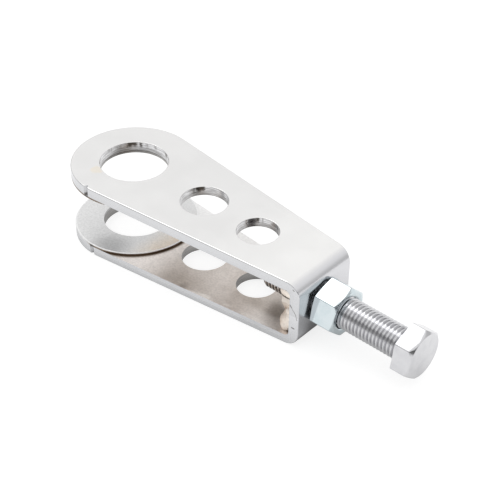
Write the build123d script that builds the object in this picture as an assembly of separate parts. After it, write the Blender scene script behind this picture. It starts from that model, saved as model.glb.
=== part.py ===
# Chain tensioner for a motorcycle's rear axle, in millimetres.
# A strip of sheet steel is folded into a U. The axle passes through the round ends of its two ears,
# and a bolt through its web pushes against the end of the swing arm to set the chain's tension.
# Frame: the origin is the centre of the axle bore, midway between the ears. +Z is the axle's line,
# and +X is the bolt's line, from the axle towards the bolt's head.
import math
import os

from build123d import *

# Sheet bracket. The splay angles say how far each ear opens away from the other.
sheet = 3.2
end_radius = 20.3
axle_bore = 22.0
axle_to_web = 79.1
web_width = 23.4
web_height = 23.0
bend_inner_radius = 1.6
upper_splay = 0.7
lower_splay = 1.6
rim_round = 0.4

# Two more holes through both ears
middle_hole_x = 31.0
middle_hole = 15.0
front_hole_x = 53.0
front_hole = 13.0
hole_round = 0.2

# Index notch in the near edge of both ears, nearly level with the axle
notch_width = 1.8
notch_depth = 1.2
upper_notch_x = -0.7
lower_notch_x = 0.0

# Thin discs joined to the ears' inner faces round the axle bore, flush with the ears' round ends
disc_thickness = 0.8
disc_round = 0.25

# M10 x 1.25 thread that the bolt and both nuts share. The bolt's grooves are rings one pitch apart.
thread = 10.0
pitch = 1.25
thread_clearance = 0.05
countersink = 11.0
thread_depth = 0.65
crest_width = 0.2
root_width = 0.2
nut_face_to_flats = 0.95
nut_corner_angle = 30.0

# Inner nut, welded to the web, its flats nearly level with the ears and as tall as they let in
weld_nut_gap = 0.3
weld_nut_height = 6.2
weld_nut_turn = 27.0
weld_bevel_angle = 45.0
flat_lean = 30.0
bolt_hole = 11.0

# Weld beads on the inner nut's slanted flats: a section with round ends that runs out from the web.
# bead_proud is how far its outer centre stands off the flat, and bead_root how far it reaches back.
bead_radius = 2.0
bead_root = 1.5
bead_reach = 5.3
bead_rise = 5.6
bead_proud = 2.5
bead_end_round = 1.8

# Lock nut, stood off the web by a part of a turn
lock_nut_flats = 14.1
lock_nut_height = 8.0
lock_nut_turn = 47.0
lock_nut_turns_off = 2 / 3

# Adjuster bolt, threaded along its whole length
bolt_length = 50.0
axle_to_tip = 58.9
tip_chamfer = 1.0
head_flats = 14.3
head_height = 6.1
head_turn = 51.0
head_face_to_flats = 0.97
head_corner_angle = 41.0
head_crown_radius = 75.0

bend_outer_radius = bend_inner_radius + sheet
bend_x = axle_to_web - bend_outer_radius
bend_z = web_height / 2 - bend_outer_radius
web_inner = axle_to_web - sheet
weld_nut_flats = web_height - 2 * (sheet + weld_nut_gap)
shank_radius = thread / 2 - thread_clearance
ear_holes = ((0, axle_bore), (middle_hole_x, middle_hole), (front_hole_x, front_hole))
through = 4 * web_height
tolerance = 1e-3


def ear_slope(side):
    """Angle by which an ear opens outwards. side is 1 for the upper ear and -1 for the lower one."""
    return math.radians(upper_splay if side > 0 else lower_splay)


def ear_line(side, skin):
    """An ear and its bend in the X-Z plane, `skin` inside the outer face: four points of the line."""
    slope = ear_slope(side)
    radius = bend_outer_radius - skin
    leg = bend_x + 2 * end_radius
    fold = (bend_x + radius * math.sin(slope), bend_z + radius * math.cos(slope))
    end = (fold[0] - leg * math.cos(slope), fold[1] + leg * math.sin(slope))
    middle = math.radians(45) - slope / 2
    crest = (bend_x + radius * math.cos(middle), bend_z + radius * math.sin(middle))
    web = (bend_x + radius, bend_z)
    return [(x, side * z) for x, z in (end, fold, crest, web)]


def u_prism(skin):
    """Filled U section, its surface `skin` inside the bracket's outer face, wider than the bracket."""
    upper = ear_line(1, skin)
    lower = ear_line(-1, skin)
    outline = Line(upper[0], upper[1]) + ThreePointArc(upper[1], upper[2], upper[3])
    outline += Line(upper[3], lower[3]) + ThreePointArc(lower[3], lower[2], lower[1])
    outline += Line(lower[1], lower[0]) + Line(lower[0], upper[0])
    return extrude(Plane.XZ * make_face(outline), 2 * end_radius, both=True)


def plan_outline():
    """Outline seen from above: a round end and two straight edges that run past the web."""
    half_width = web_width / 2
    reach = math.hypot(axle_to_web, half_width)
    angle = math.atan2(half_width, axle_to_web) + math.acos(end_radius / reach)
    edge_x, edge_y = end_radius * math.cos(angle), end_radius * math.sin(angle)
    taper = (edge_y - half_width) / (axle_to_web - edge_x)
    past_x, past_y = axle_to_web + sheet, half_width - taper * sheet
    outline = Line((edge_x, edge_y), (past_x, past_y)) + Line((past_x, past_y), (past_x, -past_y))
    outline += Line((past_x, -past_y), (edge_x, -edge_y))
    outline += ThreePointArc((edge_x, -edge_y), (-end_radius, 0), (edge_x, edge_y))
    return make_face(outline)


def on_outer_skin(edge):
    """True for an edge that lies on the bracket's outer face and doesn't run straight across it."""
    start, finish = edge @ 0, edge @ 1
    if math.hypot(start.X - finish.X, start.Z - finish.Z) < tolerance < abs(start.Y - finish.Y):
        return False
    for point in (edge @ 0.02, edge @ 0.5, edge @ 0.98):
        slope = ear_slope(point.Z)
        x, z = point.X - bend_x, abs(point.Z) - bend_z
        if z <= 0:
            depth = bend_outer_radius - x
        elif x <= z * math.tan(slope):
            depth = bend_outer_radius - x * math.sin(slope) - z * math.cos(slope)
        else:
            depth = bend_outer_radius - math.hypot(x, z)
        if abs(depth) > tolerance:
            return False
    return True


def on_hole_rim(edge):
    """True for an outer edge of an ear's hole or of the bolt's hole."""
    point = edge @ 0.5
    on_ear = any(abs(math.hypot(point.X - x, point.Y) - bore / 2) < tolerance for x, bore in ear_holes)
    on_web = abs(math.hypot(point.Y, point.Z) - bolt_hole / 2) < tolerance
    return (on_ear or on_web) and on_outer_skin(edge)


def across(radius, x=0.0):
    """Cylinder along the axle's line, longer than the bracket is high."""
    return Pos(x, 0, 0) * Cylinder(radius, through)


def along_bolt(radius, start, length):
    """Cylinder along the bolt's line, from x = start."""
    shape = Cylinder(radius, length, align=(Align.CENTER, Align.CENTER, Align.MIN))
    return Pos(start, 0, 0) * Rot(0, 90, 0) * shape


def cone_along_bolt(first_radius, last_radius, start, length):
    """Cone along the bolt's line, from x = start."""
    shape = Cone(first_radius, last_radius, length, align=(Align.CENTER, Align.CENTER, Align.MIN))
    return Pos(start, 0, 0) * Rot(0, 90, 0) * shape


def hexagon(flats, start, length, turn):
    """Hexagonal prism along the bolt's line, with a corner turned `turn` degrees from the top."""
    shape = extrude(RegularPolygon(flats / math.sqrt(3), 6), length)
    return Pos(start, 0, 0) * Rot(turn, 0, 0) * Rot(0, 90, 0) * shape


def corner_cone(flats, face_x, direction):
    """Cone that bevels a nut's corners where it ends at face_x, facing +X or -X."""
    face_radius = flats * nut_face_to_flats / 2
    wide = face_radius + 2 * flats
    rise = 2 * flats * math.tan(math.radians(nut_corner_angle))
    if direction > 0:
        return cone_along_bolt(wide, face_radius, face_x - rise, rise)
    return cone_along_bolt(face_radius, wide, face_x, rise)


def notch(x, side):
    """V notch through the near edge of one ear. side is 1 for the upper ear and -1 for the lower one."""
    mouth = ((x - notch_width / 2, -end_radius), (x + notch_width / 2, -end_radius))
    outline = Polyline(*mouth, (x, notch_depth - end_radius), close=True)
    return extrude(make_face(outline), side * through / 2)


def bracket():
    """The folded sheet with its holes, rounded outer edges and index notches."""
    blank = extrude(plan_outline(), through / 2, both=True)
    body = blank & (u_prism(0) - u_prism(sheet))
    body = fillet([edge for edge in body.edges() if on_outer_skin(edge)], rim_round)
    for x, bore in ear_holes:
        body -= across(bore / 2, x)
    body -= along_bolt(bolt_hole / 2, web_inner - sheet, 3 * sheet)
    body = fillet([edge for edge in body.edges() if on_hole_rim(edge)], hole_round)
    return body - notch(upper_notch_x, 1) - notch(lower_notch_x, -1)


def disc(side):
    """The thin disc on an ear's inner face. side is 1 for the upper ear and -1 for the lower one."""
    slope = ear_slope(side)
    height = bend_z + bend_inner_radius / math.cos(slope) + bend_x * math.tan(slope)
    face = Plane(origin=(0, 0, side * height), x_dir=(math.cos(slope), 0, -side * math.sin(slope)),
                 z_dir=(math.sin(slope), 0, side * math.cos(slope)))
    plate = extrude(face * Circle(2 * end_radius), -disc_thickness) & across(end_radius)
    rims = plate.edges().filter_by(GeomType.LINE, reverse=True)
    rims = rims.sort_by(lambda edge: abs(edge.bounding_box().center().Z))
    return fillet(rims[0], disc_round) - across(axle_bore / 2)


def nut(flats, start, height, turn):
    """Hexagon nut from x = start, bevelled and countersunk at both ends."""
    body = hexagon(flats, start, height, turn)
    body &= corner_cone(flats, start, -1)
    body &= corner_cone(flats, start + height, 1)
    sink = (countersink - thread) / 2
    body -= along_bolt(thread / 2, start, height)
    body -= cone_along_bolt(countersink / 2, thread / 2, start, sink)
    return body - cone_along_bolt(thread / 2, countersink / 2, start + height - sink, sink)


def weld_nut():
    """The inner nut, bevelled at the web so that it clears the bends."""
    body = nut(weld_nut_flats, web_inner - weld_nut_height, weld_nut_height, weld_nut_turn)
    rise = weld_nut_height * math.tan(math.radians(weld_bevel_angle))
    return body & cone_along_bolt(bend_z + weld_nut_height, bend_z, web_inner - rise, rise)


def weld_bead(side, level):
    """One bead. side is -1 on the near flats and 1 on the far ones, level 1 above and -1 below."""
    lean = math.radians(flat_lean)
    across_y, up_z = side * math.cos(lean), level * math.sin(lean)
    out = (weld_nut_flats / 2 + bead_proud - bead_rise * math.sin(lean)) / math.cos(lean)
    centre_y = side * out - across_y * bead_root / 2
    centre_z = level * bead_rise - up_z * bead_root / 2
    start = Plane(origin=(web_inner - bead_reach, centre_y, centre_z),
                  x_dir=(0, across_y, up_z), z_dir=(1, 0, 0))
    lump = extrude(start * SlotCenterToCenter(bead_root, 2 * bead_radius), bead_reach + sheet)
    return fillet(lump.edges().group_by(Axis.X)[0], bead_end_round)


def weld_beads(welded_nut):
    """Four beads, cut to fit the nut and the inside of the web."""
    lumps = [weld_bead(side, level) & u_prism(sheet) for side in (-1, 1) for level in (-1, 1)]
    return Compound(children=[lump - welded_nut for lump in lumps])


def threaded_shank():
    """The shank from its bevelled tip to the head, with the thread's grooves."""
    root_radius = shank_radius - thread_depth
    flank = (pitch - crest_width - root_width) / 2
    first_crest = axle_to_tip + tip_chamfer
    points = [(axle_to_tip, 0), (axle_to_tip, shank_radius - tip_chamfer), (first_crest, shank_radius)]
    for turn in range(int((bolt_length - tip_chamfer - crest_width) / pitch)):
        groove = first_crest + turn * pitch + crest_width
        root = groove + flank
        points += [(groove, shank_radius), (root, root_radius)]
        points += [(root + root_width, root_radius), (root + root_width + flank, shank_radius)]
    points += [(axle_to_tip + bolt_length, shank_radius), (axle_to_tip + bolt_length, 0)]
    return revolve(Plane.XZ * make_face(Polyline(*points, close=True)), Axis.X)


def crowned_cone(start, face_x):
    """Cone from x = start that ends in the head's slightly domed face, whose middle is at face_x."""
    face_radius = head_flats * head_face_to_flats / 2
    middle_radius = face_radius / 2
    edge_x = face_x - head_crown_radius + math.sqrt(head_crown_radius ** 2 - face_radius ** 2)
    middle_x = face_x - head_crown_radius + math.sqrt(head_crown_radius ** 2 - middle_radius ** 2)
    wide = face_radius + (edge_x - start) / math.tan(math.radians(head_corner_angle))
    outline = Line((face_x, 0), (start, 0)) + Line((start, 0), (start, wide))
    outline += Line((start, wide), (edge_x, face_radius))
    outline += ThreePointArc((edge_x, face_radius), (middle_x, middle_radius), (face_x, 0))
    return revolve(Plane.XZ * make_face(outline), Axis.X)


def adjuster_bolt():
    """The bolt, its hexagon head's corners bevelled and its outer face slightly domed."""
    head_x = axle_to_tip + bolt_length
    head = hexagon(head_flats, head_x, 2 * head_height, head_turn)
    head &= crowned_cone(head_x - head_height, head_x + head_height)
    return threaded_shank() + head


if __name__ == "__main__":
    os.makedirs("parts", exist_ok=True)
    lock_nut_x = axle_to_web + pitch * lock_nut_turns_off
    welded_nut = weld_nut()
    pieces = {
        "bracket": bracket(),
        "upper_disc": disc(1),
        "lower_disc": disc(-1),
        "weld_nut": welded_nut,
        "weld_beads": weld_beads(welded_nut),
        "lock_nut": nut(lock_nut_flats, lock_nut_x, lock_nut_height, lock_nut_turn),
        "adjuster_bolt": adjuster_bolt(),
    }
    for name, shape in pieces.items():
        export_step(shape, f"parts/{name}.step")
        print(name, len(shape.solids()), round(shape.volume, 1))
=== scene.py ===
import math

import bmesh
import bpy
from mathutils import Matrix, Vector, noise


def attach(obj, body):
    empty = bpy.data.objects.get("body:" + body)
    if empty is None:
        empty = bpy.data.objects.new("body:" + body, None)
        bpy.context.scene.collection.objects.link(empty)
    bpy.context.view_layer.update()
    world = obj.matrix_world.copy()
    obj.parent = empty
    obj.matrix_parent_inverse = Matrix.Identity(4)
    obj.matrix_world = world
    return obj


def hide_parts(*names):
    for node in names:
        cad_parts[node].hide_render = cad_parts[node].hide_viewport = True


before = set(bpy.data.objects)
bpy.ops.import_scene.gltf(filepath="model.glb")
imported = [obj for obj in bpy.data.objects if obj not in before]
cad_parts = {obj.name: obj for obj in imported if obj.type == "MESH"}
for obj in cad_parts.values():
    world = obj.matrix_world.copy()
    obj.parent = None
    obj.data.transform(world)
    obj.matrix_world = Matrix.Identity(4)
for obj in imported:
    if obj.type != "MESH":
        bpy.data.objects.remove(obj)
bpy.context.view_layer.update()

mm = 0.001
touching = 0.0005 * mm  # points nearer than this are one
print("frame loaded")


# Helpers for node trees and meshes

def addNode(tree, kind, sockets=None, **settings):
    # sockets maps an input's name or number to a value, or to the output that feeds it
    node = tree.nodes.new(kind)
    for name, value in settings.items():
        setattr(node, name, value)
    for key, value in (sockets or {}).items():
        if isinstance(value, bpy.types.NodeSocket):
            tree.links.new(value, node.inputs[key])
        else:
            node.inputs[key].default_value = value
    return node


def maths(tree, operation, first, second=0.0, third=0.0, clamp=False):
    sockets = {0: first, 1: second, 2: third}
    return addNode(tree, "ShaderNodeMath", sockets, operation=operation, use_clamp=clamp).outputs[0]


def plus(tree, first, second, clamp=False):
    return maths(tree, "ADD", first, second, clamp=clamp)


def minus(tree, first, second):
    return maths(tree, "SUBTRACT", first, second)


def times(tree, first, *others):
    for other in others:
        first = maths(tree, "MULTIPLY", first, other)
    return first


def timesPlus(tree, first, second, third):
    return maths(tree, "MULTIPLY_ADD", first, second, third)


def larger(tree, first, second):
    return maths(tree, "MAXIMUM", first, second)


def smaller(tree, first, second, clamp=False):
    return maths(tree, "MINIMUM", first, second, clamp=clamp)


def remap(tree, value, low, high, toLow=0.0, toHigh=1.0, curve="SMOOTHSTEP"):
    sockets = {"Value": value, "From Min": low, "From Max": high, "To Min": toLow, "To Max": toHigh}
    return addNode(tree, "ShaderNodeMapRange", sockets, interpolation_type=curve).outputs[0]


def fade(tree, distance, start, end, low=0.0, high=1.0):
    # remap with its ends in mm
    return remap(tree, distance, start * mm, end * mm, low, high)


def blendColours(tree, factor, first, second, how="MIX"):
    sockets = {0: factor, 6: first, 7: second}
    return addNode(tree, "ShaderNodeMix", sockets, data_type="RGBA", blend_type=how).outputs[2]


def blendValue(tree, factor, first, second):
    return addNode(tree, "ShaderNodeMix", {0: factor, 2: first, 3: second}).outputs[0]


def newFinish(name):
    material = bpy.data.materials.new(name)
    material.use_nodes = True
    return material, material.node_tree, material.node_tree.nodes["Principled BSDF"]


def grain(tree, place, scale, detail=2.0, roughness=0.5, stretch=(1, 1, 1)):
    # noise on object coordinates, scale in waves per metre
    mapped = addNode(tree, "ShaderNodeMapping", {"Vector": place, "Scale": stretch}).outputs[0]
    sockets = {"Vector": mapped, "Scale": scale, "Detail": detail, "Roughness": roughness}
    return addNode(tree, "ShaderNodeTexNoise", sockets).outputs[0]


def shaderInput(shader, name, value):
    if isinstance(value, bpy.types.NodeSocket):
        shader.id_data.links.new(value, shader.inputs[name])
    else:
        shader.inputs[name].default_value = value


def plateMetal(tree, shader, colour, rough, relief, distance):
    bump = addNode(tree, "ShaderNodeBump", {"Strength": 0.3, "Distance": distance, "Height": relief})
    shaderInput(shader, "Base Color", colour)
    shaderInput(shader, "Roughness", rough)
    shaderInput(shader, "Metallic", 1.0)
    shaderInput(shader, "Normal", bump.outputs[0])


def meshPiece(name, bm, finish):
    mesh = bpy.data.meshes.new(name)
    bmesh.ops.recalc_face_normals(bm, faces=bm.faces)
    for face in bm.faces:
        face.smooth = True
    bm.to_mesh(mesh)
    bm.free()
    mesh.materials.append(finish)
    piece = bpy.data.objects.new(name, mesh)
    bpy.context.scene.collection.objects.link(piece)
    return piece


def bake(piece):
    # the evaluated shape becomes the piece's own plain mesh
    bpy.context.view_layer.update()
    evaluated = piece.evaluated_get(bpy.context.evaluated_depsgraph_get())
    mesh = bpy.data.meshes.new_from_object(evaluated)
    piece.modifiers.clear()
    piece.data = mesh
    return piece


def flattenShading(piece):
    # large faces keep their own normal, so that flats look flat beside small rounded edges
    weigh = piece.modifiers.new("weigh", "WEIGHTED_NORMAL")
    weigh.keep_sharp = True
    weigh.weight = 100
    return bake(piece)


def markCreases(bm, angle=35):
    for edge in bm.edges:
        edge.smooth = len(edge.link_faces) != 2 or edge.calc_face_angle(0) < math.radians(angle)


def mergedCopy(nodeName, name, finish):
    # a CAD node is loose triangles, so its copy is joined up before it is shaded
    bm = bmesh.new()
    bm.from_mesh(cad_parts[nodeName].data)
    bmesh.ops.remove_doubles(bm, verts=bm.verts, dist=touching)
    bmesh.ops.dissolve_degenerate(bm, edges=bm.edges, dist=touching)
    markCreases(bm)
    return flattenShading(meshPiece(name, bm, finish))


# Camera: turned round +Z from the -Y side, raised, and rolled a little, as the photograph was taken

cameraView = {
    "azimuth": 41.411, "elevation": 37.979, "roll": 0.895,
    "distance": 395.6 * mm,
    "axlePixel": (136.02, 192.87),
    "pixelsPerMm": 3.0677,
    "imageSize": 500,
    "sensor": 36.0,
}


def makeCamera(view):
    azimuth, elevation, roll = (math.radians(view[key]) for key in ("azimuth", "elevation", "roll"))
    back = Vector((math.sin(azimuth) * math.cos(elevation), -math.cos(azimuth) * math.cos(elevation),
                   math.sin(elevation)))
    right = Vector((math.cos(azimuth), math.sin(azimuth), 0))
    up = back.cross(right)
    right, up = (right * math.cos(roll) + up * math.sin(roll),
                 up * math.cos(roll) - right * math.sin(roll))
    half = view["imageSize"] / 2
    aside = (view["axlePixel"][0] - half) / view["pixelsPerMm"] * mm
    above = (half - view["axlePixel"][1]) / view["pixelsPerMm"] * mm
    place = back * view["distance"] - right * aside - up * above
    data = bpy.data.cameras.new("camera")
    data.sensor_width = view["sensor"]
    focus = view["pixelsPerMm"] / mm * view["distance"]
    data.lens = focus / view["imageSize"] * view["sensor"]
    data.clip_start, data.clip_end = 0.01, 20
    camera = bpy.data.objects.new("camera", data)
    turn = Matrix((right, up, back)).transposed()
    camera.matrix_world = Matrix.Translation(place) @ turn.to_4x4()
    bpy.context.scene.collection.objects.link(camera)
    bpy.context.scene.camera = camera


makeCamera(cameraView)
print("camera placed")


# Plated sheet: satin zinc outside, duller and browner between the ears, streaked walls in the holes

# noise as (waves per metre, detail, roughness, stretch)
sheetGrain = {
    "cloud": (90, 3), "stain": (60, 3), "spots": (170, 4, 0.6), "speckle": (1500, 3, 0.6),
    "worn": (210, 2, 0.5, (0.45, 1, 1)), "torn": (900, 3), "scrape": (330, 3, 0.6, (1, 1, 0.05)),
    "lines": (3000, 2, 0.5, (0.08, 0.08, 1)), "fine": (2600, 3, 0.6),
    "rolled": (700, 2, 0.5, (0.12, 1, 1)),
}
# From and Fade say where a thing begins and where it is full, in mm or as a part of the face's normal
sheetFinish = {
    # where the folded sheet lies, as the CAD has it; holes are (x, radius) in mm
    "bendX": 74.3 * mm, "webX": 79.1 * mm, "outerHeight": 11.5 * mm, "thickness": 3.2 * mm,
    "splay": {1: 0.7, -1: 1.6}, "taper": 0.109, "edgeAt": 20.4 * mm,
    "holes": ((0.0, 11.0), (31.0, 7.5), (53.0, 6.5)), "holeRim": 0.6,
    "wallFrom": (0.75, 0.35), "webWallFrom": (0.5, 0.8), "webFade": (4.0 * mm, 1.6 * mm),
    "roughness": 0.17, "innerRoughness": 0.36, "webRoughness": 0.07, "relief": 0.02 * mm,
    # outside: the ears, paler towards the bend, and the web
    "outerColour": (0.83, 0.825, 0.82, 1), "frontColour": (0.90, 0.895, 0.885, 1), "frontFrom": (40, 68),
    "shadedWebColour": (0.70, 0.70, 0.72, 1), "webShade": 0.52, "webShadeFrom": ((1, -7), (-10.5, -5)),
    "underShade": 0.62, "underFrom": (-0.02, -0.55),
    "smudge": (-5.2, -11.7, 4.0), "smudgeColour": (0.86, 0.81, 0.73, 1),
    # inside: stains, which also paint shade deeper in towards the bend, are (from x, to x, share) and
    # painted shadows (x, y, size, share), in mm
    "innerColour": (1.0, 0.94, 0.90, 1), "farColour": (0.93, 0.925, 0.92, 1), "farFrom": (0, 8),
    "stainAndShadeColour": (0.55, 0.49, 0.44, 1), "stainsAndShade": ((16, 32, 0.65), (42, 60, 0.30)),
    "stainAndShadeFade": (10, 3), "edgeLight": 0.7, "edgeLightFrom": ((45, 65), (-7, -10.5)),
    "worn": 0.7, "wornColour": (1.0, 0.95, 0.91, 1), "wornFrom": ((24, 32), (2.4, 0.8)),
    "shadeAndDirt": 1.0, "shadeAndDirtColour": (0.24, 0.18, 0.13, 1), "shadeAndDirtRing": (21.9, 20.5), "shadeAndDirtFade": (6, 2),
    "shadows": ((74.2, -9.6, 2.6, 0.75), (31.0, -14.5, 7.0, 0.14), (36.5, -15.4, 2.6, 0.4)),
    "shadowColour": (0.12, 0.09, 0.07, 1), "rim": None, "rimHighlightColour": (0.96, 0.96, 0.96, 1),
    # walls of the holes: patches are (x, y, size) in mm
    "holeColour": (0.76, 0.76, 0.77, 1), "lowerHoleLitColour": (0.45, 0.44, 0.43, 1),
    "streakAndShadeColour": (0.10, 0.09, 0.08, 1), "marksFrom": (2.9, 1.6), "tornFrom": (2.0, 2.3),
    "patches": ((-8.4, 7.1, 1.7), (-6.3, 9.0, 0.5), (25.0, 4.4, 1.5), (48.6, 4.7, 0.7)),
    # outer walls: notches, whose walls get painted shade, are (x, ear); a nick is (x, z) to (x, z) and
    # its half width, in mm
    "wallColour": (0.66, 0.665, 0.68, 1), "lowerWallLight": 1.12,
    "lightWall": 0.0, "lightWallFrom": ((1, -4), (2, 6)),
    "notches": ((-0.7, 1), (0.0, -1)), "notchAt": -19.0 * mm, "notchHalf": 0.85 * mm,
    "nicks": (((76.1, 3.7), (76.7, 2.9), 0.30), ((76.9, 2.5), (78.1, 1.0), 0.17),
              ((78.1, 1.0), (78.6, -0.9), 0.15), ((77.0, -4.4), (77.7, -4.5), 0.34),
              ((74.5, 8.3), (74.6, 8.3), 0.24), ((76.9, 9.7), (77.3, 9.4), 0.24)),
}
discFinish = dict(
    sheetFinish, wallFrom=(0.35, 0.1),
    innerColour=(0.80, 0.80, 0.80, 1), farColour=(0.80, 0.80, 0.80, 1),
    stainAndShadeColour=(0.80, 0.70, 0.59, 1), stainsAndShade=((9, 20, 1.0),), shadeAndDirt=0.0, rim=(19.75, 19.95),
    shadows=((5.5, -17.0, 10.0, 0.5),), shadowColour=(0.36, 0.36, 0.365, 1),
    holeColour=(0.50, 0.49, 0.48, 1), lowerHoleLitColour=(0.66, 0.66, 0.66, 1),
    # the disc's dark brown wall is painted shade, and lightWall paints it pale again in places
    wallColour=(0.22, 0.17, 0.13, 1), lightWall=1.0, nicks=())


def lengthOf(tree, across, along):
    flat = addNode(tree, "ShaderNodeCombineXYZ", {0: across, 1: along}).outputs[0]
    return addNode(tree, "ShaderNodeVectorMath", {0: flat}, operation="LENGTH").outputs["Value"]


def distanceFrom(tree, sheet, x, y):
    # distance on plan from one (x, y) place in mm
    return lengthOf(tree, minus(tree, sheet["x"], x * mm), minus(tree, sheet["y"], y * mm))


def distanceToRun(tree, sheet, start, end):
    # distance, seen from the side, from a short straight run between two (x, z) places in mm
    goX, goZ = (end[0] - start[0]) * mm, (end[1] - start[1]) * mm
    awayX = minus(tree, sheet["x"], start[0] * mm)
    awayZ = minus(tree, sheet["z"], start[1] * mm)
    square = goX * goX + goZ * goZ
    share = plus(tree, times(tree, awayX, goX / square), times(tree, awayZ, goZ / square), clamp=True)
    return lengthOf(tree, minus(tree, awayX, times(tree, share, goX)),
                    minus(tree, awayZ, times(tree, share, goZ)))


def roughened(tree, sheet, distance, scale, size, stretch=(1, 1, 1)):
    # adds noise to a distance, so that what is drawn by it gets a ragged edge
    return timesPlus(tree, grain(tree, sheet["place"], scale, 2, 0.5, stretch), size * mm, distance)


def readSheet(tree, values):
    # where a point of the sheet is, how deep it lies under the outer skin, and on what kind of face
    coords = addNode(tree, "ShaderNodeTexCoord").outputs
    split = addNode(tree, "ShaderNodeSeparateXYZ", {0: coords["Object"]}).outputs
    facing = addNode(tree, "ShaderNodeSeparateXYZ", {0: coords["Normal"]}).outputs
    x, y, z = split["X"], split["Y"], split["Z"]
    sheet = {"place": coords["Object"], "x": x, "y": y, "z": z, "up": facing["Z"]}
    above = maths(tree, "GREATER_THAN", z, 0.0)
    rise = {side: math.tan(math.radians(angle)) for side, angle in values["splay"].items()}
    slope = timesPlus(tree, above, rise[1] - rise[-1], rise[-1])
    run = minus(tree, values["bendX"], x)
    skin = timesPlus(tree, run, slope, values["outerHeight"])
    underSkin = minus(tree, skin, maths(tree, "ABSOLUTE", z))
    depth = smaller(tree, underSkin, minus(tree, values["webX"], x))

    # walls are the sheared faces across the sheet; inner faces lie a sheet's thickness in
    earWall = remap(tree, maths(tree, "ABSOLUTE", facing["Z"]), *values["wallFrom"])
    webWall = remap(tree, maths(tree, "ABSOLUTE", facing["Y"]), *values["webWallFrom"])
    hole = 0.0
    for at, radius in values["holes"]:
        away = distanceFrom(tree, sheet, at, 0)
        hole = larger(tree, hole, maths(tree, "LESS_THAN", away, (radius + values["holeRim"]) * mm))
    sheet.update({
        "above": above, "depth": depth, "hole": hole,
        "wall": blendValue(tree, maths(tree, "LESS_THAN", run, 0.0), earWall, webWall),
        "inner": remap(tree, depth, values["thickness"] * 0.85, values["thickness"] * 0.95),
        "onWeb": remap(tree, x, *[values["webX"] - before for before in values["webFade"]]),
        "scrape": grain(tree, coords["Object"], *sheetGrain["scrape"]),
    })
    ragged = timesPlus(tree, grain(tree, coords["Object"], *sheetGrain["torn"]), 0.8 * mm, depth)
    sheet["torn"] = fade(tree, ragged, *values["tornFrom"])
    return sheet


def outsideColour(tree, sheet, values):
    front = fade(tree, sheet["x"], *values["frontFrom"])
    colour = blendColours(tree, front, values["outerColour"], values["frontColour"])
    x, y, size = values["smudge"]
    away = roughened(tree, sheet, distanceFrom(tree, sheet, x, y), 500, 3.0)
    smudge = times(tree, fade(tree, away, size, size * 0.7), sheet["above"])
    colour = blendColours(tree, smudge, colour, values["smudgeColour"])

    # painted shade: the web is a darker copy of the ears' colour, darker still low down and away from its
    # near edge, and where the lower bend turns under
    fromZ, fromY = values["webShadeFrom"]
    low = times(tree, fade(tree, sheet["z"], *fromZ), fade(tree, sheet["y"], *fromY), values["webShade"])
    shadedWebColour = blendColours(tree, low, values["shadedWebColour"], values["streakAndShadeColour"])
    colour = blendColours(tree, sheet["onWeb"], colour, shadedWebColour)
    under = remap(tree, sheet["up"], *values["underFrom"], 0.0, values["underShade"])
    return blendColours(tree, times(tree, under, sheet["onWeb"]), colour, values["streakAndShadeColour"])


def insideColour(tree, sheet, values):
    x, y, place = sheet["x"], sheet["y"], sheet["place"]
    # brown stain with painted shade that deepens towards the bend, cloudy, with painted light near the
    # bend's near edge, and lighter on the far side
    stain = 0.0
    for start, end, share in values["stainsAndShade"]:
        stain = plus(tree, stain, fade(tree, x, start, end, 0.0, share))
    fromX, fromY = values["edgeLightFrom"]
    light = times(tree, fade(tree, x, *fromX, 0.0, values["edgeLight"]), fade(tree, y, *fromY))
    stain = times(tree, stain, minus(tree, 1.0, light), fade(tree, y, *values["stainAndShadeFade"], 0.15, 1.0),
                  remap(tree, grain(tree, place, *sheetGrain["stain"]), 0.2, 0.6, 0.75, 1.0),
                  remap(tree, grain(tree, place, *sheetGrain["spots"]), 0.3, 0.7, 0.8, 1.12))
    far = fade(tree, y, *values["farFrom"])
    colour = blendColours(tree, far, values["innerColour"], values["farColour"])
    colour = blendColours(tree, stain, colour, values["stainAndShadeColour"])

    # pale worn streaks along the near edge, where the ear tapers
    inwards = plus(tree, timesPlus(tree, x, -values["taper"], values["edgeAt"]), y)
    streaks = remap(tree, grain(tree, place, *sheetGrain["worn"]), 0.5, 0.6, 0.0, values["worn"])
    fromX, fromEdge = values["wornFrom"]
    worn = times(tree, fade(tree, inwards, *fromEdge), streaks, fade(tree, x, *fromX))
    colour = blendColours(tree, worn, colour, values["wornColour"])

    # painted shade with some dirt in the corner beside a disc, where the ear's face mirrors the disc's
    # dark wall
    radius = distanceFrom(tree, sheet, 0, 0)
    shadeAndDirt = times(tree, fade(tree, radius, *values["shadeAndDirtRing"]), values["shadeAndDirt"],
                 fade(tree, y, *values["shadeAndDirtFade"]))
    colour = blendColours(tree, shadeAndDirt, colour, values["shadeAndDirtColour"])
    # painted shadows: soft dark spots where shade falls on the inner faces and the disc
    for atX, atY, size, share in values["shadows"]:
        away = roughened(tree, sheet, distanceFrom(tree, sheet, atX, atY), 250, 0.2 * size)
        shadow = fade(tree, away, size, size * 0.25, 0.0, share)
        colour = blendColours(tree, shadow, colour, values["shadowColour"])
    # painted highlight: a pale band round the disc's rim
    if values["rim"]:
        colour = blendColours(tree, fade(tree, radius, *values["rim"]), colour, values["rimHighlightColour"])
    return colour


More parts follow.
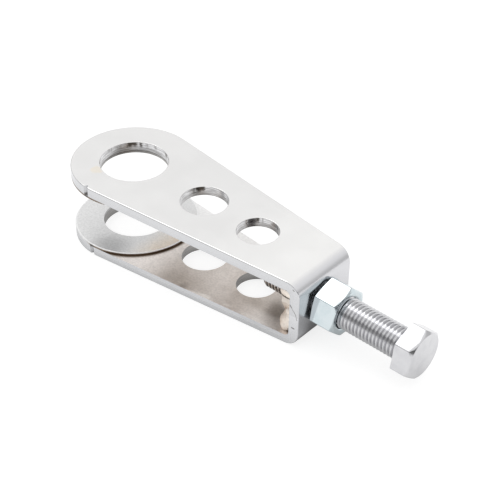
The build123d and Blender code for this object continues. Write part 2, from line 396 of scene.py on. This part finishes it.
def holeWallColour(tree, sheet, values):
    # fine lines, a torn band inside, dark streaks and patches near the outer skin, and the seam to a disc
    place, depth = sheet["place"], sheet["depth"]
    lines = remap(tree, grain(tree, place, *sheetGrain["lines"]), 0.42, 0.62, 0.0, 0.45)
    mark = remap(tree, sheet["scrape"], 0.55, 0.66, 0.0, 0.9)
    for x, y, size in values["patches"]:
        away = roughened(tree, sheet, distanceFrom(tree, sheet, x, y), 1500, 1.2)
        mark = larger(tree, mark, fade(tree, away, size + 0.9, size + 0.1))
    ragged = roughened(tree, sheet, depth, 1200, 1.4, (1, 1, 0.2))
    mark = times(tree, mark, fade(tree, ragged, *values["marksFrom"], 0.1, 1.0))
    seam = maths(tree, "ABSOLUTE", minus(tree, depth, values["thickness"]))
    seam = fade(tree, seam, 0.16, 0.08, 0.0, 0.8)
    colour = values["holeColour"]
    for share in (lines, times(tree, sheet["torn"], 0.2), mark, seam):
        colour = blendColours(tree, share, colour, values["streakAndShadeColour"])
    # painted light and shade: the lower ear's hole walls get their own grey
    return blendColours(tree, sheet["above"], values["lowerHoleLitColour"], colour)


def outerWallColour(tree, sheet, values):
    # painted shade in the notches, and dark nicks on the near side
    notchShadeAndNicks = 0.0
    for at, ear in values["notches"]:
        off = maths(tree, "ABSOLUTE", minus(tree, sheet["x"], at * mm))
        onEar = maths(tree, "GREATER_THAN", times(tree, sheet["z"], float(ear)), 0.0)
        near = times(tree, maths(tree, "LESS_THAN", off, values["notchHalf"]), onEar)
        notchShadeAndNicks = larger(tree, notchShadeAndNicks, near)
    notchShadeAndNicks = times(tree, notchShadeAndNicks, maths(tree, "LESS_THAN", sheet["y"], values["notchAt"]),
                fade(tree, sheet["depth"], 2.2, 2.9, 0.15, 0.85))
    nearSide = maths(tree, "LESS_THAN", sheet["y"], 0.0)
    for start, end, size in values["nicks"]:
        away = roughened(tree, sheet, distanceToRun(tree, sheet, start, end), 1400, 0.12)
        nick = fade(tree, away, size + 0.06, size * 0.5, 0.0, 0.75)
        notchShadeAndNicks = larger(tree, notchShadeAndNicks, times(tree, nick, nearSide))
    # painted light: the lower ear's walls are a lighter copy of the wall colour
    lowerLitWallColour = [value * values["lowerWallLight"] for value in values["wallColour"][:3]] + [1]
    colour = blendColours(tree, sheet["above"], lowerLitWallColour, values["wallColour"])
    # painted light: the lower disc's wall is pale round the end and on the far side
    fromX, fromY = values["lightWallFrom"]
    pale = larger(tree, fade(tree, sheet["x"], *fromX), fade(tree, sheet["y"], *fromY))
    pale = times(tree, pale, values["lightWall"], minus(tree, 1.0, sheet["above"]))
    colour = blendColours(tree, pale, colour, values["innerColour"])
    return blendColours(tree, notchShadeAndNicks, colour, values["streakAndShadeColour"])


def platedSheet(name, values):
    finish, tree, shader = newFinish(name)
    sheet = readSheet(tree, values)
    place, inner, wall, onWeb = (sheet[key] for key in ("place", "inner", "wall", "onWeb"))
    cloud = grain(tree, place, *sheetGrain["cloud"])
    faces = blendColours(tree, inner, outsideColour(tree, sheet, values),
                         insideColour(tree, sheet, values))
    walls = blendColours(tree, sheet["hole"], outerWallColour(tree, sheet, values),
                         holeWallColour(tree, sheet, values))
    speckle = grain(tree, place, *sheetGrain["speckle"])
    speckle = remap(tree, speckle, 0.35, 0.65, 0.88, 1.03, "LINEAR")
    shade = times(tree, remap(tree, cloud, 0.3, 0.7, 0.96, 1.0), blendValue(tree, inner, 1.0, speckle))
    grey = addNode(tree, "ShaderNodeCombineColor", {0: shade, 1: shade, 2: shade}).outputs[0]
    colour = blendColours(tree, 1.0, blendColours(tree, wall, faces, walls), grey, "MULTIPLY")

    rough = timesPlus(tree, cloud, 0.08, values["roughness"] - 0.04)
    rough = timesPlus(tree, onWeb, values["webRoughness"], rough)
    inside = timesPlus(tree, cloud, 0.1, values["innerRoughness"] - 0.05)
    torn = timesPlus(tree, sheet["torn"], 0.12, values["roughness"])
    rough = blendValue(tree, wall, blendValue(tree, inner, rough, inside), torn)

    # fine grain and rolling lines everywhere, less on the web, and scrapes along the holes' walls
    relief = plus(tree, times(tree, grain(tree, place, *sheetGrain["fine"]), 0.35),
                  times(tree, grain(tree, place, *sheetGrain["rolled"]), 0.5))
    scraped = times(tree, sheet["scrape"], wall, sheet["hole"])
    relief = times(tree, timesPlus(tree, scraped, 2.5, relief), timesPlus(tree, onWeb, -0.85, 1.0))
    plateMetal(tree, shader, colour, rough, relief, values["relief"])
    return finish


sheetMetal = platedSheet("plated sheet", sheetFinish)
discMetal = platedSheet("plated disc", discFinish)
bracket = mergedCopy("bracket", "folded_bracket", sheetMetal)
upperDisc = mergedCopy("upper_disc", "upper_axle_disc", discMetal)
lowerDisc = mergedCopy("lower_disc", "lower_axle_disc", discMetal)
print("bracket and discs made")


# Plain bright metals for the hardware

hardwareGrain = {"cloud": (260, 3), "fine": (3200, 3, 0.6), "slot": (900, 2)}
boltFinish = {
    "colour": (0.68, 0.68, 0.695, 1), "stain": (0.62, 0.62, 0.64, 1),
    "roughness": 0.18, "spread": 0.06, "relief": 0.008 * mm,
    # painted shade in the grooves: radius that stays unshaded, radius that is fully dark, and where the
    # thread ends; painted highlight on the crests between the ears
    "grooves": (4.85 * mm, 4.4 * mm, 108.8 * mm), "grooveShadeColour": (0.13, 0.13, 0.14, 1),
    "crestHighlightColour": (1, 1, 1, 1), "change": (72, 80), "grooveShadeStrength": (0.95, 0.22),
}
nutFinish = {
    "colour": (0.665, 0.73, 0.755, 1), "stain": (0.60, 0.68, 0.71, 1),
    "roughness": 0.12, "spread": 0.08, "relief": 0.012 * mm,
}
weldFinish = {
    "colour": (1.0, 0.93, 0.86, 1), "stain": (0.84, 0.74, 0.65, 1),
    "roughness": 0.62, "spread": 0.2, "relief": 0.12 * mm,
    # painted shade in the slot: its height with a wave in it, where it fades in along y and across
    # itself, and how dark it is
    "gapShadeAt": 2.15 * mm, "gapShadeWave": 0.4 * mm, "gapShadeFrom": (-7.4, -7.9), "gapShadeFade": (0.42, 0.16),
    "gapShadeStrength": 0.88, "gapShadeColour": (0.10, 0.08, 0.06, 1),
}


def threadShadeAndHighlight(tree, place, colour, values):
    # painted shade and highlight: the grooves are dark, between the ears they are darkest, and there the
    # crests are white
    unshaded, deep, end = values["grooves"]
    inside, outside = values["change"]
    x = addNode(tree, "ShaderNodeSeparateXYZ", {0: place}).outputs["X"]
    across = addNode(tree, "ShaderNodeVectorMath", {0: place, 1: (0, 1, 1)}, operation="MULTIPLY")
    radius = addNode(tree, "ShaderNodeVectorMath", {0: across.outputs[0]}, operation="LENGTH")
    dark = times(tree, remap(tree, radius.outputs["Value"], unshaded, deep),
                 fade(tree, x, inside, outside, *values["grooveShadeStrength"]), maths(tree, "LESS_THAN", x, end))
    colour = blendColours(tree, fade(tree, x, outside, inside), colour, values["crestHighlightColour"])
    return blendColours(tree, dark, colour, values["grooveShadeColour"])


def gapShadeColour(tree, place, colour, values):
    # painted shade: a dark line in the slot between the upper and lower weld, on the near side only and
    # clear of the nut
    split = addNode(tree, "ShaderNodeSeparateXYZ", {0: place}).outputs
    wave = grain(tree, place, *hardwareGrain["slot"])
    height = timesPlus(tree, wave, values["gapShadeWave"], split["Z"])
    off = maths(tree, "ABSOLUTE", minus(tree, height, values["gapShadeAt"]))
    slot = times(tree, fade(tree, off, *values["gapShadeFade"], 0.0, values["gapShadeStrength"]),
                 fade(tree, split["Y"], *values["gapShadeFrom"]))
    return blendColours(tree, slot, colour, values["gapShadeColour"])


def hardwareMetal(name, values):
    finish, tree, shader = newFinish(name)
    place = addNode(tree, "ShaderNodeTexCoord").outputs["Object"]
    cloud = grain(tree, place, *hardwareGrain["cloud"])
    fine = grain(tree, place, *hardwareGrain["fine"])
    colour = blendColours(tree, remap(tree, cloud, 0.4, 0.75), values["colour"], values["stain"])
    if "grooves" in values:
        colour = threadShadeAndHighlight(tree, place, colour, values)
    if "gapShadeAt" in values:
        colour = gapShadeColour(tree, place, colour, values)
    rough = timesPlus(tree, cloud, values["spread"], values["roughness"] - values["spread"] / 2)
    plateMetal(tree, shader, colour, rough, fine, values["relief"])
    return finish


boltChrome = hardwareMetal("bright plated bolt", boltFinish)
nutZinc = hardwareMetal("blue zinc nut", nutFinish)
weldMetal = hardwareMetal("plated weld metal", weldFinish)


# Hexagons: rings of points round the bolt's line, closer together where corners are rounded

hexagonEdge = {"corner": 0.12 * mm, "rim": 0.07 * mm,
               "bevelRows": 14, "pastBevel": 1.12, "crowding": 1.3,  # rows lie closer towards a face
               "spread": (0, 0.4, 0.9, 1.5, 2.3, 3.4, 5, 8, 13, 19, 25)}  # degrees from a corner


def columnAngles():
    spread = hexagonEdge["spread"]
    offsets = [-step for step in reversed(spread[1:])] + list(spread) + [30]
    return [math.radians(60 * side + offset) for side in range(6) for offset in offsets]


def softMin(first, second, blend):
    # the smaller of two lengths, rounded over where they meet
    gap = max(blend - abs(first - second), 0) / blend
    return min(first, second) - gap * gap * blend / 4


def hexagonRadius(flats, angle):
    # distance from the axis to a hexagon's side, with a corner at angle 0
    leans = [math.cos(angle - math.radians(30 + 60 * side)) for side in range(6)]
    sides = sorted(flats / 2 / lean for lean in leans if lean > 0.4)  # sides that face away are left out
    return softMin(sides[0], sides[1], hexagonEdge["corner"] * 2) if len(sides) > 1 else sides[0]


def ringRows(bm, rows, turn):
    # rows holds (x, radius); a radius is a length or a function of the hexagon's angle
    angles = columnAngles()
    loops = []
    for x, radius in rows:
        ring = []
        for angle in angles:
            distance = radius(angle) if callable(radius) else radius
            spin = angle + math.radians(turn)
            ring.append(bm.verts.new((x, -distance * math.sin(spin), distance * math.cos(spin))))
        loops.append(ring)
    for lower, upper in zip(loops, loops[1:]):
        for column in range(len(angles)):
            after = (column + 1) % len(angles)
            bm.faces.new((lower[column], lower[after], upper[after], upper[column]))
    return loops


def hexagonSides(flats, start, end, startCone, endCone):
    # rows from start to end; a cone is (radius at that end, bevel angle), or None for a square end
    rim, steps = hexagonEdge["rim"], hexagonEdge["bevelRows"]
    shares = [(step / steps) ** hexagonEdge["crowding"] for step in range(steps + 1)]

    def bevelHeight(cone):
        if not cone:
            return 2 * rim
        deep = flats / math.sqrt(3) - cone[0]
        return deep * math.tan(math.radians(cone[1])) * hexagonEdge["pastBevel"]

    def bevelled(x):
        def radius(angle):
            distance = hexagonRadius(flats, angle)
            for cone, away in ((startCone, x - start), (endCone, end - x)):
                if cone:
                    reach = cone[0] + away / math.tan(math.radians(cone[1]))
                    distance = softMin(distance, reach, rim * 2)
            return distance
        return radius

    places = [start + bevelHeight(startCone) * share for share in shares]
    places += [end - bevelHeight(endCone) * share for share in reversed(shares)]
    return [(x, bevelled(x)) for x in places]


def makeNut(name, values, finish):
    start, end = values["start"], values["start"] + values["height"]
    bore, sink, lip = values["bore"], values["sink"], values["lip"]
    cones = [(values["flats"] * values["face"] / 2, bevel) for bevel in values["bevels"]]
    mouth = [(sink, bore), (lip, bore + sink - lip), (0, bore + sink + lip)]
    bm = bmesh.new()
    rows = [(start + inset, radius) for inset, radius in mouth]
    rows += hexagonSides(values["flats"], start, end, *cones)
    rows += [(end - inset, radius) for inset, radius in reversed(mouth)]
    loops = ringRows(bm, rows, values["turn"])
    first, last = loops[0], loops[-1]
    for column in range(len(first)):
        after = (column + 1) % len(first)
        bm.faces.new((last[column], last[after], first[after], first[column]))
    return flattenShading(meshPiece(name, bm, finish))


lockNut = {"flats": 14.1 * mm, "start": 79.933 * mm, "height": 8.0 * mm, "turn": 47.0,
           "bore": 5.0 * mm, "sink": 0.5 * mm, "lip": 0.08 * mm, "face": 0.95, "bevels": (9, 30)}
outerNut = makeNut("plated_lock_nut", lockNut, nutZinc)
innerNut = mergedCopy("weld_nut", "welded_nut", weldMetal)
print("nuts made")


# Bolt: threaded along its whole length, with a crowned hexagon head

bolt = {"flats": 14.3 * mm, "turn": 51.0, "headHeight": 6.1 * mm, "hub": 3.0 * mm,
        "face": 0.97, "bevel": 41, "crown": 75.0 * mm,
        "domeRings": (0.97, 0.9, 0.75, 0.6, 0.45, 0.3, 0.15),
        "tip": 58.9 * mm, "length": 50.0 * mm, "tipChamfer": 1.0 * mm, "intoHead": 0.3 * mm,
        "pitch": 1.25 * mm, "major": 4.95 * mm, "depth": 0.65 * mm, "start": 0.62,
        "around": 96, "perTurn": 10}

# the groove's middle and half widths at its root and mouth are shares of a turn; runOut is a slope
threadShape = {"groove": 0.6, "halfRoot": 0.1, "halfMouth": 0.4, "runOut": 4.0}


def threadTree(shape):
    # a grid rolled round the bolt's line, with rows along the helix so that crests and roots are crisp
    tree = bpy.data.node_groups.new("thread", "GeometryNodeTree")
    tree.interface.new_socket("Geometry", in_out="OUTPUT", socket_type="NodeSocketGeometry")
    for name in ("Tip", "Length", "Pitch", "Major", "Depth", "Chamfer", "Start"):
        tree.interface.new_socket(name, in_out="INPUT", socket_type="NodeSocketFloat")
    for name in ("Around", "Per Turn"):
        tree.interface.new_socket(name, in_out="INPUT", socket_type="NodeSocketInt")
    tree.interface.new_socket("Finish", in_out="INPUT", socket_type="NodeSocketMaterial")
    given = addNode(tree, "NodeGroupInput").outputs

    # one row closes each end, and two spare turns let the slanted rows reach past both ends
    turns = plus(tree, maths(tree, "DIVIDE", given["Length"], given["Pitch"]), 2.0)
    along = maths(tree, "CEIL", times(tree, turns, given["Per Turn"]))
    grid = addNode(tree, "GeometryNodeMeshGrid", {
        "Size X": 1.0, "Size Y": 1.0, "Vertices X": plus(tree, given["Around"], 1.0),
        "Vertices Y": plus(tree, along, 3.0)})
    position = addNode(tree, "GeometryNodeInputPosition").outputs[0]
    place = addNode(tree, "ShaderNodeSeparateXYZ", {0: position}).outputs
    share = plus(tree, place["X"], 0.5)
    row = maths(tree, "ROUND", times(tree, plus(tree, place["Y"], 0.5), plus(tree, along, 2.0)))
    step = smaller(tree, larger(tree, minus(tree, row, 1.0), 0.0), along)
    turn = minus(tree, maths(tree, "DIVIDE", step, given["Per Turn"]), plus(tree, share, given["Start"]))
    reach = times(tree, turn, given["Pitch"])
    fromTip = smaller(tree, larger(tree, reach, 0.0), given["Length"])

    # the radius: the groove, the tip's cone, the run-out into the head, and nothing at the closing rows
    phase = maths(tree, "DIVIDE", maths(tree, "MODULO", step, given["Per Turn"]), given["Per Turn"])
    off = maths(tree, "ABSOLUTE", minus(tree, phase, shape["groove"]))
    groove = remap(tree, off, shape["halfRoot"], shape["halfMouth"], 1.0, 0.0, "LINEAR")
    radius = minus(tree, given["Major"], times(tree, groove, given["Depth"]))
    cone = plus(tree, minus(tree, given["Major"], given["Chamfer"]), fromTip)
    left = larger(tree, minus(tree, given["Length"], reach), 0.0)
    root = minus(tree, given["Major"], given["Depth"])
    runOut = timesPlus(tree, left, shape["runOut"], root)
    radius = smaller(tree, smaller(tree, radius, cone), runOut)
    ends = smaller(tree, row, minus(tree, plus(tree, along, 2.0), row), clamp=True)
    radius = times(tree, radius, ends)

    angle = times(tree, share, 2 * math.pi)
    point = addNode(tree, "ShaderNodeCombineXYZ", {
        0: plus(tree, given["Tip"], fromTip),
        1: times(tree, maths(tree, "SINE", angle), -1.0, radius),
        2: times(tree, maths(tree, "COSINE", angle), radius)}).outputs[0]
    mesh = grid.outputs[0]
    for kind, sockets in (("GeometryNodeSetPosition", {"Position": point}),
                          ("GeometryNodeMergeByDistance", {"Distance": touching}),
                          ("GeometryNodeRealizeInstances", {}),
                          ("GeometryNodeSetMaterial", {"Material": given["Finish"]})):
        mesh = addNode(tree, kind, {"Geometry": mesh, **sockets}).outputs[0]
    addNode(tree, "NodeGroupOutput", {0: mesh})
    return tree


def makeShank(values, finish):
    piece = bpy.data.objects.new("shank", bpy.data.meshes.new("shank"))
    bpy.context.scene.collection.objects.link(piece)
    modifier = piece.modifiers.new("thread", "NODES")
    tree = threadTree(threadShape)
    modifier.node_group = tree
    wanted = {"Tip": values["tip"], "Length": values["length"] + values["intoHead"],
              "Pitch": values["pitch"], "Major": values["major"], "Depth": values["depth"],
              "Chamfer": values["tipChamfer"], "Start": values["start"],
              "Around": values["around"], "Per Turn": values["perTurn"], "Finish": finish}
    for socket in tree.interface.items_tree:
        if socket.in_out == "INPUT":
            modifier[socket.identifier] = wanted[socket.name]
    return bake(piece)


def makeHead(values, finish):
    start = values["tip"] + values["length"]
    end = start + values["headHeight"]
    faceRadius = values["flats"] * values["face"] / 2
    crown = values["crown"]

    def domed(radius):
        return end - crown + math.sqrt(crown * crown - radius * radius)

    bm = bmesh.new()
    rows = [(start, values["hub"])]
    rows += hexagonSides(values["flats"], start, domed(faceRadius), None, (faceRadius, values["bevel"]))
    rows += [(domed(faceRadius * share), faceRadius * share) for share in values["domeRings"]]
    loops = ringRows(bm, rows, values["turn"])
    bm.faces.new(loops[-1])
    bm.faces.new(list(reversed(loops[0])))
    return flattenShading(meshPiece("head", bm, finish))


def joinPieces(name, pieces, finish):
    bm = bmesh.new()
    for piece in pieces:
        bm.from_mesh(piece.data)
        bpy.data.objects.remove(piece)
    for face in bm.faces:
        face.material_index = 0
    markCreases(bm)
    return flattenShading(meshPiece(name, bm, finish))


shank, head = makeShank(bolt, boltChrome), makeHead(bolt, boltChrome)
threadedBolt = joinPieces("threaded_bolt", (shank, head), boltChrome)
print("bolt made")


# Weld: the four beads with more lumps beside them, run together and made uneven

weldLumps = {"voxel": 0.26 * mm, "swell": 0.26 * mm, "waves": 430, "finer": 2.3, "smoothing": 2,
             # extra lumps are (x, y, z, radius) in mm, and each is on both sides
             "extra": ((74.3, 9.3, -1.2, 1.5), (74.3, 9.3, -3.4, 1.5), (73.1, 9.2, -6.9, 2.1),
                       (73.6, 8.9, 5.6, 1.9), (72.0, 9.2, -5.6, 1.1))}


def makeWeld(values, finish):
    bm = bmesh.new()
    bm.from_mesh(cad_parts["weld_beads"].data)
    bmesh.ops.remove_doubles(bm, verts=bm.verts, dist=touching)
    for x, y, z, radius in values["extra"]:
        for side in (-1, 1):
            middle = Matrix.Translation((x * mm, side * y * mm, z * mm))
            bmesh.ops.create_icosphere(bm, subdivisions=3, radius=radius * mm, matrix=middle)
    piece = meshPiece("weld_metal_beads", bm, finish)
    remesh = piece.modifiers.new("remesh", "REMESH")
    remesh.mode = "VOXEL"
    remesh.voxel_size = values["voxel"]
    bake(piece)
    for vertex in piece.data.vertices:
        wave = vertex.co * values["waves"]
        lump = noise.noise(wave) + 0.5 * noise.noise(wave * values["finer"])
        vertex.co += vertex.normal * values["swell"] * lump
    smooth = piece.modifiers.new("smooth", "SMOOTH")
    smooth.iterations = values["smoothing"]
    bake(piece)
    piece.data.shade_smooth()
    return piece


weld = makeWeld(weldLumps, weldMetal)
print("weld made")


# Floor, world and lamps: white below, behind and above, and a dim room on the camera's side

studio = {
    # the floor is tilted as the lower ear is, which lies on it; lift is how bright the camera sees it
    "tilt": 1.6, "floorAt": 13.577 * mm, "floorSize": 24.0,
    "floorColour": (0.30, 0.30, 0.30, 1), "lift": 0.80, "shelter": 22 * mm,
    # greys of the world as (height, grey); a side is the way to it and where it fades in
    "sweep": ((0.0, 0.60), (0.20, 0.62), (0.40, 0.86), (0.54, 1.0)),
    "room": ((0.0, 0.55), (0.14, 0.52), (0.27, 0.37), (0.42, 0.37), (0.60, 1.0)),
    "roomSide": ((0.30, -0.95, 0.0), (-0.15, 0.35)),
    "card": ((0.0, 0.04), (0.20, 0.06), (0.36, 0.8), (0.5, 1.0)),
    "cardSide": ((0.97, -0.24, 0.0), (0.68, 0.86)),
    "softbox": {"place": (-0.36, 0.06, 0.70), "aim": (0.08, 0, 0), "width": 0.36, "power": 0.62},
}


def makeFloor(values):
    finish, tree, shader = newFinish("studio floor")
    paths = addNode(tree, "ShaderNodeLightPath").outputs
    # reflections show the floor darker where the object stands close above it
    shelter = addNode(tree, "ShaderNodeAmbientOcclusion", {"Distance": values["shelter"]}, samples=8)
    mirrored = times(tree, paths["Is Glossy Ray"], shelter.outputs["AO"])
    seen = larger(tree, paths["Is Camera Ray"], larger(tree, mirrored, paths["Is Transmission Ray"]))
    shaderInput(shader, "Base Color", values["floorColour"])
    shaderInput(shader, "Roughness", 1.0)
    shaderInput(shader, "Specular IOR Level", 0.0)
    shaderInput(shader, "Emission Color", (1, 1, 1, 1))
    shaderInput(shader, "Emission Strength", times(tree, seen, values["lift"]))
    half, slope = values["floorSize"] / 2, math.tan(math.radians(values["tilt"]))
    bm = bmesh.new()
    corners = [bm.verts.new((x, y, slope * x - values["floorAt"])) for x, y in
               ((-half, -half), (half, -half), (half, half), (-half, half))]
    bm.faces.new(corners)
    floor = meshPiece("studio_floor", bm, finish)
    if floor.data.polygons[0].normal.z < 0:
        floor.data.flip_normals()


def skyRamp(tree, height, greys):
    ramp = addNode(tree, "ShaderNodeValToRGB", {0: height})
    points = ramp.color_ramp.elements
    while len(points) < len(greys):
        points.new(0.5)
    for point, (where, grey) in zip(points, greys):
        point.position = where
        point.color = (grey, grey, grey, 1)
    return ramp.outputs[0]


def makeWorld(values):
    world = bpy.data.worlds.new("studio")
    bpy.context.scene.world = world
    world.use_nodes = True
    tree = world.node_tree
    way = addNode(tree, "ShaderNodeTexCoord").outputs["Generated"]
    height = addNode(tree, "ShaderNodeSeparateXYZ", {0: way}).outputs["Z"]
    flat = addNode(tree, "ShaderNodeVectorMath", {0: way, 1: (1, 1, 0)}, operation="MULTIPLY").outputs[0]
    flat = addNode(tree, "ShaderNodeVectorMath", {0: flat}, operation="NORMALIZE").outputs[0]
    sky = skyRamp(tree, height, values["sweep"])
    for name in ("room", "card"):
        towards, (low, high) = values[name + "Side"]
        side = addNode(tree, "ShaderNodeVectorMath", {0: flat, 1: towards}, operation="DOT_PRODUCT")
        share = remap(tree, side.outputs["Value"], low, high)
        sky = blendColours(tree, share, sky, skyRamp(tree, height, values[name]))
    tree.links.new(sky, tree.nodes["Background"].inputs["Color"])


def areaLamp(name, values):
    data = bpy.data.lights.new(name, "AREA")
    data.size = values["width"]
    data.energy = values["power"]
    lamp = bpy.data.objects.new(name, data)
    lamp.location = values["place"]
    aim = Vector(values["aim"]) - Vector(values["place"])
    lamp.rotation_euler = aim.to_track_quat("-Z", "Y").to_euler()
    bpy.context.scene.collection.objects.link(lamp)


makeFloor(studio)
makeWorld(studio)
areaLamp("top softbox", studio["softbox"])
bpy.context.scene.view_settings.view_transform = "Standard"
print("floor, world and lamps made")


# Pieces ride with their bodies and stand for their CAD nodes

dressed = (
    (bracket, "bracket_body", "plated_sheet", ("bracket",)),
    (upperDisc, "bracket_body", "plated_sheet", ("upper_disc",)),
    (lowerDisc, "bracket_body", "plated_sheet", ("lower_disc",)),
    (innerNut, "bracket_body", "weld_metal", ("weld_nut",)),
    (weld, "bracket_body", "weld_metal", ("weld_beads",)),
    (outerNut, "lock_nut_body", "blue_zinc", ("lock_nut",)),
    (threadedBolt, "bolt_body", "bright_plate", ("adjuster_bolt",)),
)
for piece, body, slot, nodes in dressed:
    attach(piece, body)
    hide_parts(*nodes)

print("pieces dressed")
